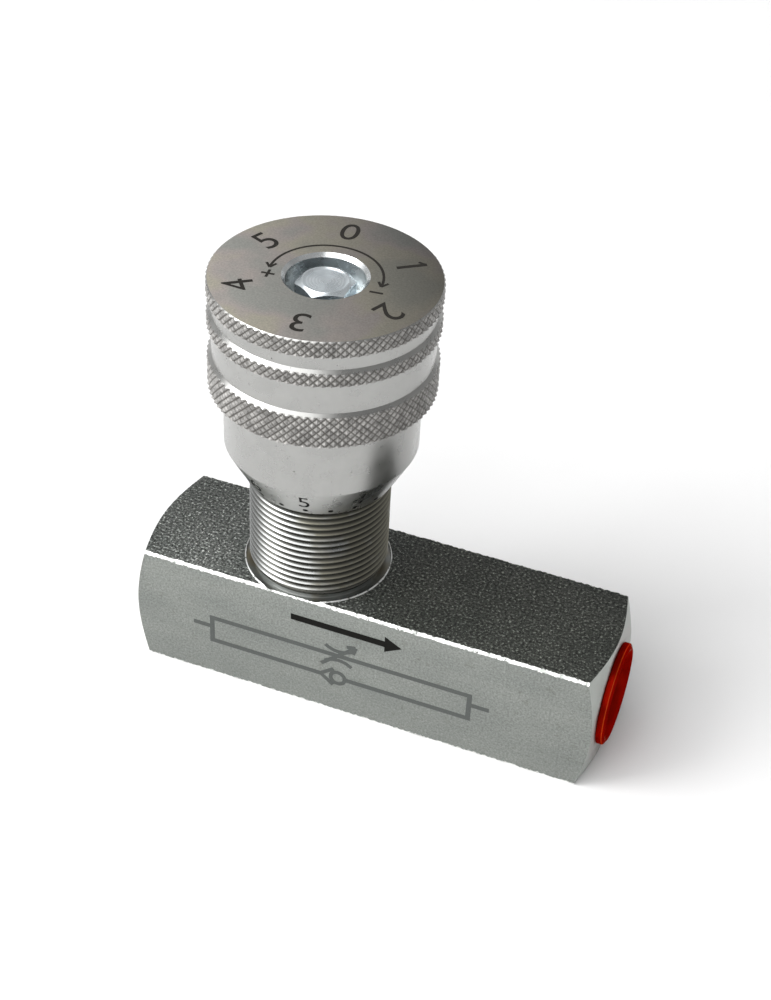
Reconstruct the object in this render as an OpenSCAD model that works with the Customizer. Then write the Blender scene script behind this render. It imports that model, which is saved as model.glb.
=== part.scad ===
// In-line throttle valve with a built-in reverse-flow check, set by a knob.
// X runs along the two ports and Z along the adjusting spindle.
// The origin is where the spindle axis meets the underside of the body.

/* [Body] */
// Width and height of the square bar
body_w = 20; // [20:0.5:21]
// Length of the body over its two end faces
body_l = 70; // [69:0.5:74]
// Distance from the left end face to the spindle axis
axis_from_end = 24.6; // [24:0.2:26]
// Angle of the turned cone on each end
end_angle = 20; // [15:1:25]
// Radius along the long edges of the bar
edge_r = 0.4; // [0.2:0.1:0.8]

/* [Turret] */
// Diameter of the turret thread over its crests
turret_d = 20; // [19.8:0.1:20]
// Pitch of the turret thread, which is also the rise of the knob in one turn
thread_pitch = 1; // [0.8:0.1:1.2]
// Height of the top of the turret above the underside of the body
turret_top = 53.2; // [50:0.2:53.2]
// Diameter of the spot face milled around the foot of the turret
spot_d = 21; // [20.6:0.2:23]
// Depth of the spot face below the top of the bar
spot_depth = 0.15; // [0.1:0.05:0.3]

/* [Ports] */
// Wall diameter of the G 1/4 port thread, taken at its minor diameter
port_d = 11.445; // [11.4:0.005:11.5]
// Depth of the left port thread
port_a_depth = 12; // [11:0.5:12.5]
// Depth of the right port bore
port_b_depth = 14; // [13.5:0.25:14.5]
// Depth of the countersink at each port mouth
port_countersink = 1; // [0.6:0.1:1.2]
// Diameter of the passage between the ports
passage_d = 6; // [5.5:0.25:6]

/* [Knob] */
// Diameter over the knurled bands
knob_d = 31.2; // [30:0.2:33]
// Diameter of the plain skirt
skirt_d = 27; // [26:0.5:28.5]
// Diameter of the lower end of the scale cone
cone_d = 21; // [20.8:0.1:22]
// Height of the top knurled band
band_1_h = 2.4; // [2:0.1:3]
// Height of the upper plain groove
groove_1_h = 2.05; // [1.5:0.05:2.5]
// Height of the middle knurled band
band_2_h = 2.3; // [2:0.1:3]
// Height of the lower plain groove
groove_2_h = 4.4; // [3.5:0.1:5]
// Height of the lower knurled band
band_3_h = 5.1; // [4.5:0.1:5.5]
// Height of the plain skirt
skirt_h = 9.45; // [9:0.05:10]
// Height of the scale cone
cone_h = 5.6; // [5:0.1:6]
// Depth of the plain grooves below the knurled bands
groove_depth = 0.45; // [0.3:0.05:0.6]
// Chamfer round the rim of the top face
rim_chamfer = 0.4; // [0.2:0.1:0.6]
// Diameter of the recess around the clamp bolt
recess_d = 10.6; // [10.2:0.2:12]
// Depth of that recess
recess_depth = 5.1; // [4.9:0.1:5.3]

/* [Motion] */
// Height of the needle above its seat in the modelled position
open_lift = 4; // [1:0.5:4]

/* [Hidden] */
$fn = 96;
cut = 1;                        // how far a cutter runs past the face it opens

// Body, from the ends inwards
left_x = -axis_from_end;
right_x = left_x + body_l;
port_z = body_w / 2;
web_x = 14;                     // left wall of the check chamber, with the check seat
chamber_d = 10;                 // check chamber
port_a_floor_x = left_x + port_a_depth;
port_b_floor_x = right_x - port_b_depth;
mouth_d = port_d + 2 * port_countersink;

// Turret thread and its foot
thread_depth = 0.61 * thread_pitch;
spot_z = body_w - spot_depth;
relief_h = 1;                   // height of the relief groove under the thread

// Throttle bore, from the bottom up
seat_z = 14.5;
orifice_d = 5;
throttle_d = 10.5;              // throttle chamber
gland_z = 26;                   // shoulder under the gland
gland_d = 14;
gland_chamfer = 0.4;
bypass_d = 3;                   // slanted drilling from the right port to the throttle chamber
bypass_x = 3;
bypass_z = 17.5;
bypass_mouth_z = 8.5;

// Needle and spindle; "lift" is measured from the closed position
spindle_d = 8;
collar_d = 9.6;
collar_z = 15.5 + open_lift;
collar_top_z = 20.9 + open_lift;
needle_angle = 15;
needle_seat_r = orifice_d / 2 - 0.03;
needle_seat_z = seat_z + open_lift;
needle_tip_r = 1;
needle_shoulder_z = needle_seat_z + 1.5;
neck_d = 4.2;
neck_h = 1.6;
head_d = 6;
head_h = 2.4;
needle_pin_d = 1.4;
slip = 0.05;                    // radial running clearance

// Knob, from the bottom up
knob_bottom_z = 32 + open_lift;
knob_h = cone_h + skirt_h + band_3_h + groove_2_h + band_2_h + groove_1_h + band_1_h;
knob_top_z = knob_bottom_z + knob_h;
recess_floor_z = knob_top_z - recess_depth;
ceiling_z = knob_bottom_z + 21.8;
spigot_h = 3;
spigot_w = 6;                   // across the two flats that drive the spindle
grub_z = knob_bottom_z + 10.4;
grub_angle = 118;               // round the back, from +X towards +Y
grub_d = 4;

// M4 bolt and its washers
bolt_d = 4;
bolt_l = 16;
bolt_head_w = 7;                // across flats
bolt_head_h = 2.8;
bolt_head_turn = 27;            // angle from +X to the first corner
bolt_hole_d = 4.5;
plain_washer_d = 9;
plain_washer_h = 0.8;
spring_washer_d = 7.6;
spring_washer_h = 0.9;
bolt_seat_z = recess_floor_z + plain_washer_h + spring_washer_h;

// Gland stack, from the shoulder up
washer_h = 1.5;
o_ring_d = 2.4;
backup_h = 1.2;
bush_h = 12;
o_ring_z = gland_z + washer_h;
backup_z = o_ring_z + o_ring_d;
bush_z = backup_z + backup_h;
static_ring_d = 1.5;
static_ring_z = bush_z + 4;

// Check valve, along X
poppet_d = 8.4;
poppet_nose_r = passage_d / 2 - 0.03;
poppet_cone_x = web_x + 1.2;    // where the 45 degree nose reaches the poppet's full radius
poppet_back_x = 17.2;
stem_d = 3;
stem_end_x = 30.4;
spring_wire_d = 0.8;
spring_coil_d = 6.2;            // mean diameter
spring_rings = 6;
seat_x = 26.6;                  // left face of the spring seat
seat_h = 2.2;
circlip_x = seat_x + seat_h;
circlip_h = 1;
circlip_groove_d = 10.6;

// Thread protector
cap_flange_d = 15.0;
cap_flange_h = 1.2;
cap_rim_w = 0.3;                // flat rim round the dished outer face
cap_dish_h = 0.6;               // depth of the dish above the tube's wall
cap_tube_d = port_d - 0.1;
cap_wall = 0.8;
cap_depth = 8;

// A solid round bar between two heights
module rod(d, z0, z1) {
    translate([0, 0, z0]) cylinder(d = d, h = z1 - z0);
}

// A ring between two heights
module ring(d, hole, z0, z1) {
    difference() {
        rod(d, z0, z1);
        rod(hole, z0 - cut, z1 + cut);
    }
}

// A torus about Z
module o_ring(mean_d, wire, z) {
    translate([0, 0, z]) rotate_extrude() translate([mean_d / 2, 0]) circle(d = wire, $fn = 32);
}

// Lays a shape that was drawn along +Z down along +X, on the port axis
module on_port_axis() {
    translate([0, 0, port_z]) rotate([0, 90, 0]) children();
}

// Square bar with rounded long edges
module bar() {
    inner = body_w - 2 * edge_r;
    on_port_axis() translate([0, 0, left_x]) linear_extrude(height = body_l) union() {
        square([inner, body_w], center = true);
        square([body_w, inner], center = true);
        for (x = [-1, 1], y = [-1, 1])
            translate([x * inner / 2, y * inner / 2]) circle(r = edge_r, $fn = 32);
    }
}

// Turned solid that leaves each end face round and cones the corners off
module end_cones() {
    reach = body_w;
    slope = reach * tan(end_angle);
    on_port_axis() rotate_extrude() polygon([
        [0, left_x],
        [body_w / 2, left_x],
        [body_w / 2 + reach, left_x + slope],
        [body_w / 2 + reach, right_x - slope],
        [body_w / 2, right_x],
        [0, right_x]]);
}

// One side of the thread profile, from its foot to its top
function thread_points(z0, turns) = [
    for (i = [0 : turns - 1], p = [[0.06, 0], [0.44, 1], [0.56, 1], [0.94, 0]])
        [turret_d / 2 - thread_depth * p[1], z0 + thread_pitch * (i + p[0])]];

// Threaded turret with its relief groove and foot
module turret() {
    z0 = spot_z + relief_h;
    turns = floor((turret_top - z0 - 0.5) / thread_pitch);
    root_r = turret_d / 2 - thread_depth - 0.1;
    rotate_extrude() polygon(concat(
        [[0, port_z], [root_r, port_z], [root_r, z0 - 0.3]],
        [[turret_d / 2, z0]],
        thread_points(z0, turns),
        [[turret_d / 2, turret_top - 0.5], [turret_d / 2 - 0.5, turret_top], [0, turret_top]]));
}

// Flat ring milled round the foot of the turret
module spot_face() {
    ring(spot_d, turret_d - 2 * thread_depth - 1, spot_z, body_w + cut);
}

// Port bore with its countersink, drawn with the mouth at z = 0 and the bore going down
module port_bore(depth) {
    translate([0, 0, -depth]) cylinder(d = port_d, h = depth + cut);
    translate([0, 0, -port_countersink])
        cylinder(d1 = port_d, d2 = mouth_d, h = port_countersink);
}

// Every flow passage and bore inside the body
module body_bores() {
    on_port_axis() {
        translate([0, 0, right_x]) port_bore(port_b_depth);
        translate([0, 0, left_x]) mirror([0, 0, 1]) port_bore(port_a_depth);
        rod(passage_d, port_a_floor_x - cut, web_x + cut);
        rod(chamber_d, web_x, port_b_floor_x + cut);
        rod(circlip_groove_d, circlip_x, circlip_x + circlip_h + 0.05);
    }
    rod(orifice_d, port_z, seat_z + cut);
    rod(throttle_d, seat_z, gland_z + cut);
    rod(gland_d, gland_z, turret_top + cut);
    translate([0, 0, turret_top - gland_chamfer])
        cylinder(d1 = gland_d, d2 = gland_d + 4 * gland_chamfer, h = 2 * gland_chamfer);
    run = right_x - bypass_x;
    drop = bypass_z - bypass_mouth_z;
    translate([bypass_x, 0, bypass_z])
        rotate([0, 90 + atan(drop / run), 0])
            cylinder(d = bypass_d, h = norm([run, drop]));
}

module valve_body() {
    color("darkgray") difference() {
        union() {
            difference() {
                intersection() {
                    bar();
                    end_cones();
                }
                spot_face();
            }
            turret();
        }
        body_bores();
    }
}

// Needle that floats in the spindle, so that it does not turn on its seat
module throttle_needle() {
    tip_drop = (needle_seat_r - needle_tip_r) / tan(needle_angle);
    shoulder_r = needle_seat_r + (needle_shoulder_z - needle_seat_z) * tan(needle_angle);
    head_z = needle_shoulder_z + neck_h;
    color("slategray") rotate_extrude() polygon([
        [0, needle_seat_z - tip_drop],
        [needle_tip_r, needle_seat_z - tip_drop],
        [shoulder_r, needle_shoulder_z],
        [neck_d / 2, needle_shoulder_z],
        [neck_d / 2, head_z],
        [head_d / 2, head_z],
        [head_d / 2, head_z + head_h - 0.3],
        [head_d / 2 - 0.3, head_z + head_h],
        [0, head_z + head_h]]);
}

// Places the two pins that trap the head of the needle
module at_needle_pins() {
    offset_y = neck_d / 2 + slip + needle_pin_d / 2;
    for (side = [-1, 1])
        translate([0, side * offset_y, needle_shoulder_z + neck_h / 2])
            rotate([0, 90, 0]) children();
}

module needle_pins() {
    color("silver") intersection() {
        at_needle_pins() cylinder(d = needle_pin_d, h = collar_d, center = true);
        rod(collar_d, collar_z, collar_top_z);
    }
}

// Spindle with its anti-blow-out collar, needle socket and driving flats
module spindle() {
    color("lightsteelblue") difference() {
        union() {
            rod(collar_d, collar_z, collar_top_z);
            rod(spindle_d, collar_z, ceiling_z);
            intersection() {
                rod(spindle_d, ceiling_z - cut, ceiling_z + spigot_h);
                translate([0, 0, ceiling_z])
                    cube([spigot_w, spindle_d, 3 * spigot_h], center = true);
            }
        }
        rod(head_d + 2 * slip, collar_z - cut, needle_shoulder_z + neck_h + head_h + 0.2);
        rod(bolt_d, bolt_seat_z - bolt_l - cut, ceiling_z + spigot_h + cut);
        at_needle_pins() cylinder(d = needle_pin_d, h = collar_d + cut, center = true);
    }
}

module seal_washer() {
    color("gray") ring(gland_d - 2 * slip, spindle_d + 4 * slip, gland_z, o_ring_z);
}

module spindle_o_ring() {
    color("black")
        o_ring(spindle_d + slip + o_ring_d, o_ring_d, o_ring_z + o_ring_d / 2);
}

module backup_ring() {
    color("white") ring(gland_d - 2 * slip, spindle_d + 2 * slip, backup_z, bush_z);
}

// Guide bush with a groove for the static seal and two slots for a pin spanner
module gland_bush() {
    groove_d = gland_d - 2 * static_ring_d - 2 * slip;
    slot_w = 2;
    slot_h = 3;
    color("goldenrod") difference() {
        ring(gland_d - 2 * slip, spindle_d + 2 * slip, bush_z, bush_z + bush_h);
        ring(gland_d + cut, groove_d, static_ring_z, static_ring_z + static_ring_d + 0.3);
        translate([0, 0, bush_z + bush_h])
            cube([gland_d + cut, slot_w, slot_h], center = true);
    }
}

module gland_o_ring() {
    color("black") o_ring(gland_d - static_ring_d - 2 * slip, static_ring_d,
                          static_ring_z + (static_ring_d + 0.3) / 2);
}

// Outline of the knob's outside, as [radius, height above its lower end]
function knob_outline() =
    let (r = knob_d / 2,
         groove_r = r - groove_depth,
         skirt_z = cone_h,
         band_3_z = skirt_z + skirt_h,
         groove_2_z = band_3_z + band_3_h,
         band_2_z = groove_2_z + groove_2_h,
         groove_1_z = band_2_z + band_2_h,
         band_1_z = groove_1_z + groove_1_h)
    [[cone_d / 2, 0], [skirt_d / 2, skirt_z], [skirt_d / 2, band_3_z],
     [r, band_3_z], [r, groove_2_z - groove_depth], [groove_r, groove_2_z], [groove_r, band_2_z],
     [r, band_2_z], [r, groove_1_z - groove_depth], [groove_r, groove_1_z], [groove_r, band_1_z],
     [r, band_1_z], [r, knob_h - rim_chamfer], [r - rim_chamfer, knob_h]];

// Turns a shape drawn along +X, at the height of the grub screw, to where the screw is
module at_grub_screw() {
    rotate([0, 0, grub_angle]) translate([0, 0, grub_z]) rotate([0, 90, 0]) children();
}

module knob() {
    recess_chamfer = 0.4;
    bore_r = turret_d / 2 + slip;
    color("silver") difference() {
        translate([0, 0, knob_bottom_z]) rotate_extrude() polygon(concat(
            knob_outline(),
            [[recess_d / 2 + recess_chamfer, knob_h],
             [recess_d / 2, knob_h - recess_chamfer],
             [recess_d / 2, knob_h - recess_depth],
             [bolt_hole_d / 2, knob_h - recess_depth],
             [bolt_hole_d / 2, ceiling_z - knob_bottom_z],
             [bore_r, ceiling_z - knob_bottom_z],
             [bore_r, 0]]));
        intersection() {
            rod(spindle_d + 2 * slip, ceiling_z - cut, ceiling_z + spigot_h);
            translate([0, 0, ceiling_z])
                cube([spigot_w + 2 * slip, spindle_d + cut, 3 * spigot_h], center = true);
        }
        at_grub_screw() cylinder(d = grub_d, h = knob_d);
    }
}

module knob_bolt() {
    corners_d = bolt_head_w / cos(30);
    face_d = 6.6;
    cone_h = bolt_head_h + cut;
    color("gainsboro") union() {
        intersection() {
            rotate([0, 0, bolt_head_turn]) translate([0, 0, bolt_seat_z])
                cylinder(d = corners_d, h = bolt_head_h, $fn = 6);
            translate([0, 0, bolt_seat_z + bolt_head_h - cone_h])
                cylinder(d1 = face_d + 2 * cone_h / tan(30), d2 = face_d, h = cone_h);
        }
        rod(bolt_d - 0.04, bolt_seat_z - bolt_l, bolt_seat_z + cut);
    }
}

module plain_washer() {
    color("gainsboro") ring(plain_washer_d, bolt_d + 0.3,
                            recess_floor_z, recess_floor_z + plain_washer_h);
}

// Split washer, with its ends cut on the slant
module spring_washer() {
    z0 = recess_floor_z + plain_washer_h;
    color("gainsboro") difference() {
        ring(spring_washer_d, bolt_d + 0.1, z0, z0 + spring_washer_h);
        rotate([0, 0, -35]) translate([3, 0, z0 + spring_washer_h / 2])
            rotate([25, 0, 0]) cube([5, 0.5, 4], center = true);
    }
}

// Hexagon socket grub screw in the skirt
module grub_screw() {
    inner_r = turret_d / 2 + slip + 1;
    outer_r = skirt_d / 2 - 0.2;
    color("dimgray") at_grub_screw() difference() {
        rod(grub_d, inner_r, outer_r);
        translate([0, 0, outer_r - 1.4]) cylinder(d = 2 / cos(30), h = 2, $fn = 6);
    }
}

module lock_pad() {
    inner_r = turret_d / 2 + slip;
    color("ivory") at_grub_screw() difference() {
        rod(grub_d - 0.2, inner_r - cut, inner_r + 1);
        rotate([0, -90, 0]) cylinder(r = inner_r + 0.01, h = 2 * grub_d, center = true);
    }
}

// Cone-nosed poppet with its guide stem
module check_poppet() {
    nose_x = web_x - 1.4;
    color("lightslategray") on_port_axis() rotate_extrude() polygon([
        [0, nose_x],
        [poppet_nose_r - (web_x - nose_x), nose_x],
        [poppet_nose_r + (poppet_cone_x - web_x), poppet_cone_x],
        [poppet_d / 2, poppet_cone_x + 0.1],
        [poppet_d / 2, poppet_back_x],
        [stem_d / 2, poppet_back_x],
        [stem_d / 2, stem_end_x],
        [0, stem_end_x]]);
}

// The spring's coils, as one ring each
module check_spring() {
    first_x = poppet_back_x + spring_wire_d / 2 + 0.05;
    last_x = seat_x - spring_wire_d / 2 - 0.05;
    step = (last_x - first_x) / (spring_rings - 1);
    color("lightgray") on_port_axis()
        for (i = [0 : spring_rings - 1]) o_ring(spring_coil_d, spring_wire_d, first_x + i * step);
}

// Guide disc that backs the spring and lets the flow past
module spring_seat() {
    hub_d = 5;
    hub_h = 1.2;
    hole_d = 1.7;
    hole_ring_r = 3.55;
    color("slategray") on_port_axis() difference() {
        union() {
            rod(chamber_d - 2 * slip, seat_x, seat_x + seat_h);
            rod(hub_d, seat_x, seat_x + seat_h + hub_h);
        }
        rod(stem_d + 2 * slip, seat_x - cut, stem_end_x + cut);
        for (a = [0 : 60 : 300])
            rotate([0, 0, a]) translate([hole_ring_r, 0, 0])
                rod(hole_d, seat_x - cut, stem_end_x);
    }
}

// Internal retaining ring with two plier ears
module check_circlip() {
    hole_d = 8;
    gap_w = 2.2;
    ear_angle = 24;
    ear_r = 4;
    ear_d = 2.2;
    ear_hole_d = 0.9;
    gap_l = 4;
    color("dimgray") on_port_axis() difference() {
        union() {
            difference() {
                ring(circlip_groove_d - 2 * slip, hole_d, circlip_x, circlip_x + circlip_h);
                translate([-chamber_d / 2, 0, circlip_x])
                    cube([gap_l, gap_w, gap_l], center = true);
            }
            for (side = [-1, 1])
                rotate([0, 0, 180 + side * ear_angle]) translate([ear_r, 0, 0])
                    rod(ear_d, circlip_x, circlip_x + circlip_h);
        }
        for (side = [-1, 1])
            rotate([0, 0, 180 + side * ear_angle]) translate([ear_r, 0, 0])
                rod(ear_hole_d, circlip_x - cut, circlip_x + circlip_h + cut);
    }
}

// Push-in plastic thread protector, hollow with a dished mouth and closed at its inner end
module port_cap() {
    inner_end = right_x - cap_depth;
    face_x = right_x + cap_flange_h;
    hollow_d = cap_tube_d - 2 * cap_wall;
    color("red") on_port_axis() rotate_extrude() polygon([
        [0, inner_end],
        [cap_tube_d / 2, inner_end],
        [cap_tube_d / 2, right_x],
        [cap_flange_d / 2, right_x],
        [cap_flange_d / 2, face_x],
        [cap_flange_d / 2 - cap_rim_w, face_x],
        [cap_tube_d / 2, face_x - cap_dish_h],
        [hollow_d / 2, right_x - cap_dish_h],
        [hollow_d / 2, inner_end + cap_wall],
        [0, inner_end + cap_wall]]);
}

valve_body();
throttle_needle();
spindle();
needle_pins();
seal_washer();
spindle_o_ring();
backup_ring();
gland_bush();
gland_o_ring();
knob();
knob_bolt();
plain_washer();
spring_washer();
grub_screw();
lock_pad();
check_poppet();
check_spring();
spring_seat();
check_circlip();
port_cap();
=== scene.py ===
"""Looks of the in-line throttle valve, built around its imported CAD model.

Lengths are named in millimetres and turned into metres by MM. X runs along the ports and Z up the spindle.
"""

import itertools
import math
import random

import bmesh
import bpy
from mathutils import Matrix, Vector


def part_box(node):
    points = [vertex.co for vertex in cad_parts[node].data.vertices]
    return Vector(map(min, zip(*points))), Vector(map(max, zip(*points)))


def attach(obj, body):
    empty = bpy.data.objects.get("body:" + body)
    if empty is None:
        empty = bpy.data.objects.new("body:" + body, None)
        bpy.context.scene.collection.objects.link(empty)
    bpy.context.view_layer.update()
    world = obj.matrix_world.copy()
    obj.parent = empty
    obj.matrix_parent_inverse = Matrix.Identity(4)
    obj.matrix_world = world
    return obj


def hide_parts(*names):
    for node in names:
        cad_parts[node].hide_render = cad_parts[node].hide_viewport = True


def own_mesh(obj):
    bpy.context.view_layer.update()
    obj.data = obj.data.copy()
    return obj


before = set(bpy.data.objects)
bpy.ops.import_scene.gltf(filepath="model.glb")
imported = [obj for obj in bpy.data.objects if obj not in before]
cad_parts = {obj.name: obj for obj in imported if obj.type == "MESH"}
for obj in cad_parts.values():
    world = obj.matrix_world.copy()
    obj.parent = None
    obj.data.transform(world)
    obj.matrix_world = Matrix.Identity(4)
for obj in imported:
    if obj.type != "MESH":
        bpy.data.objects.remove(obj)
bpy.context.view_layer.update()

MM = 0.001


def box_mm(node):
    """Lowest and highest corner of a CAD node, in millimetres."""
    return [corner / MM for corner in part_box(node)]


# Places taken from the CAD model
body_low, body_high = box_mm("valve_body")
knob_low, knob_high = box_mm("knob")
cap_low, cap_high = box_mm("port_cap")
bolt_low, bolt_high = box_mm("knob_bolt")
plain_low, plain_high = box_mm("plain_washer")
split_low, split_high = box_mm("spring_washer")
spring_low, spring_high = box_mm("check_spring")
grub_low, grub_high = box_mm("grub_screw")

# Body
LEFT_X, RIGHT_X = body_low.x, body_high.x
BAR_W = body_high.y - body_low.y
PORT_Z = BAR_W / 2
EDGE_R = 0.4
EDGE_WEAR = 0.13
EDGE_STEP = 0.28
END_ANGLE = math.radians(20)
SPOT_R = 10.5
SPOT_Z = BAR_W - 0.15
LIP_H = 0.13
LIP_W = 0.22
TURRET_TOP = body_high.z
TURRET_R = 10.0
TURRET_PITCH = 1.0
TURRET_THREAD_DEPTH = 0.58
RELIEF_H = 0.6
TURRET_CHAMFER = 0.4
TURRET_SEGMENTS = 160

# Ports and passages
PORT_MINOR_R = 5.7225
PORT_MAJOR_R = 6.5785
PORT_PITCH = 1.337
PORT_A_DEPTH = 12.0
PORT_B_DEPTH = 14.0
PORT_RUNOUT = 0.6
COUNTERSINK = 1.0
PASSAGE_R = 3.0
CHAMBER_R = 5.0
CHECK_SEAT_X = 14.0
CIRCLIP_X = 28.8
CIRCLIP_H = 1.05
CIRCLIP_R = 5.3
ORIFICE_R = 2.5
THROTTLE_SEAT_Z = 14.5
THROTTLE_R = 5.25
GLAND_Z = 26.0
GLAND_R = 7.0
BYPASS_R = 1.5
BYPASS_X, BYPASS_Z, BYPASS_MOUTH_Z = 3.0, 17.5, 8.5

# Knob, with heights counted from its lower end
KNOB_R = (knob_high.x - knob_low.x) / 2
KNOB_Z = knob_low.z
KNOB_H = knob_high.z - knob_low.z
CONE_H = 5.6
CONE_R = 10.5
SKIRT_R = 13.5
SKIRT_H = 9.45
BAND_3_H = 5.1
GROOVE_2_H = 4.4
BAND_2_H = 2.3
GROOVE_1_H = 2.05
GROOVE_DEPTH = 0.6
RIM_CHAMFER = 0.25
RECESS_R = 5.3
RECESS_DEPTH = 5.1
RECESS_CHAMFER = 0.5
BOLT_HOLE_R = 2.25
GRUB_HOLE_R = 2.0
SPIGOT_R = 4.05
SPIGOT_HALF_W = 3.05
SPIGOT_H = 3.0
KNOB_CEILING = 21.8
KNOB_BORE_R = 10.05

# Diamond knurl: two families of grooves at 45 degrees to the axis, where KNURL_SHALLOW scales the second
KNURLS_ROUND = 87
KNURL_STEPS = 4
KNURL_AXIAL = 2 * math.pi * KNOB_R / KNURLS_ROUND
KNURL_DEPTH = 0.26
KNURL_FLAT = 0.9
KNURL_SHALLOW = 0.86
KNOB_SEGMENTS = KNURLS_ROUND * KNURL_STEPS
CHAMFER_ROWS = 6

# Bolt head, with the angle from +X to its first corner
HEAD_FLATS = 7
HEAD_H = 2.8
HEAD_TURN = 27

# Dials and marks, with angles round the spindle from the front towards +X
DIAL_DIGITS = 6
DIAL_R = 11.55
DIAL_DIGIT_H = 4.1
DIAL_ZERO = 186.5
ARROW_R = 7.5
ARROW_HALF_SPAN = 93
SCALE_DIGITS = 10
SCALE_FIVE = 11.8
SCALE_DIGIT_H = 3.1
SYMBOL_Z = 9.4
ARROW_X = 8.5
ARROW_Z = 16.1
MARK_LIFT = 0.012
MARK_STEP = 0.002
MARK_SINK = 0.03


# ---- meshes

def make_object(name, verts, faces):
    """A shaded mesh object from points in millimetres."""
    mesh = bpy.data.meshes.new(name)
    mesh.from_pydata([tuple(c * MM for c in v) for v in verts], [], faces)
    bm = bmesh.new()
    bm.from_mesh(mesh)
    bmesh.ops.remove_doubles(bm, verts=bm.verts, dist=2e-7)
    bmesh.ops.recalc_face_normals(bm, faces=bm.faces)
    bm.to_mesh(mesh)
    bm.free()
    obj = bpy.data.objects.new(name, mesh)
    bpy.context.scene.collection.objects.link(obj)
    shade(obj)
    return obj


def shade(obj, sharp=32):
    """Smooth shading with creases where faces meet at more than sharp degrees."""
    mesh = obj.data
    mesh.polygons.foreach_set("use_smooth", [True] * len(mesh.polygons))
    mesh.set_sharp_from_angle(angle=math.radians(sharp))
    mesh.update()


def step_angle(step, steps):
    """Angle of one of the equal steps of a full turn."""
    return 2 * math.pi * step / steps


def to_z(radius, angle, along):
    """A point on a ring about Z."""
    return (radius * math.cos(angle), radius * math.sin(angle), along)


def to_x(radius, angle, along):
    """A point on a ring about the port axis, which runs along X."""
    return (along, radius * math.cos(angle), PORT_Z + radius * math.sin(angle))


def ring_faces(count, segments, closed=False):
    """Quads between count rings, and back to the first ring if closed."""
    faces = []
    for j in range(count if closed else count - 1):
        a, b = j * segments, (j + 1) % count * segments
        for i in range(segments):
            k = (i + 1) % segments
            faces.append((a + i, a + k, b + k, b + i))
    return faces


def revolve(profile, segments=96, place=to_z, closed=False):
    """Verts and faces of rings (radius, along), where the radius may be a function of the column."""
    verts = [place(radius(i) if callable(radius) else radius, step_angle(i, segments), along)
             for radius, along in profile for i in range(segments)]
    return verts, ring_faces(len(profile), segments, closed)


def turned(name, profile, segments=96, place=to_z, closed=False):
    """A mesh object from a turned profile."""
    return make_object(name, *revolve(profile, segments, place, closed))


def swept(verts, sides):
    """Verts and faces of a row of equal loops of points, joined up and capped at both ends."""
    caps = [tuple(range(sides)), tuple(range(len(verts) - sides, len(verts)))]
    return verts, caps + ring_faces(len(verts) // sides, sides)


def about(origin, direction, across):
    """Places rings about an axis of their own, where across is square to it."""
    upward = direction.cross(across)
    return lambda radius, angle, along: tuple(
        origin + direction * along + (across * math.cos(angle) + upward * math.sin(angle)) * radius)


def joined(*parts):
    """Several (verts, faces) as one."""
    verts, faces = [], []
    for part_verts, part_faces in parts:
        base = len(verts)
        verts += part_verts
        faces += [tuple(base + i for i in face) for face in part_faces]
    return verts, faces


def smoothstep(t):
    """Eased share between 0 and 1."""
    t = min(max(t, 0.0), 1.0)
    return t * t * (3 - 2 * t)


def thread_wall(end_r, top_r, pitch, start, stop, segments, place=to_z, rows=8):
    """Helical thread that fades to end_r at both ends, so that they are plain rings."""
    crest, slope = 0.05, 0.8

    def height(phase):
        flank = min(max((abs(phase - 0.5) * 2 - crest) / slope, 0), 1)
        return 1 - (flank + smoothstep(flank)) / 2

    turns = (stop - start) / pitch + 2
    count = math.ceil(turns * rows) + 1
    verts = []
    for j in range(count):
        for i in range(segments):
            raw = start - pitch + pitch * (j / rows + i / segments)
            s = min(max(raw, start), stop)
            fade = smoothstep((s - start) / pitch) * smoothstep((stop - s) / pitch)
            r = end_r + (top_r - end_r) * height(j / rows % 1.0) * fade
            verts.append(place(r, step_angle(i, segments), s))
    faces = []
    for j in range(count - 1):
        for i in range(segments - 1):
            a, b = j * segments + i, (j + 1) * segments + i
            faces.append((a, a + 1, b + 1, b))
        k = j + rows
        if k + 1 < count:
            last = j * segments + segments - 1
            faces.append((last, k * segments, (k + 1) * segments, last + segments))
    return verts, faces


def boolean(obj, other, operation):
    """Applies a boolean of other to obj and deletes other."""
    modifier = obj.modifiers.new(operation, "BOOLEAN")
    modifier.operation = operation
    modifier.object = other
    modifier.solver = "MANIFOLD"
    depsgraph = bpy.context.evaluated_depsgraph_get()
    result = bpy.data.meshes.new_from_object(obj.evaluated_get(depsgraph), depsgraph=depsgraph)
    result.materials.clear()
    obj.modifiers.clear()
    obj.data = result
    bpy.data.objects.remove(other)
    return obj


# ---- materials

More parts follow.
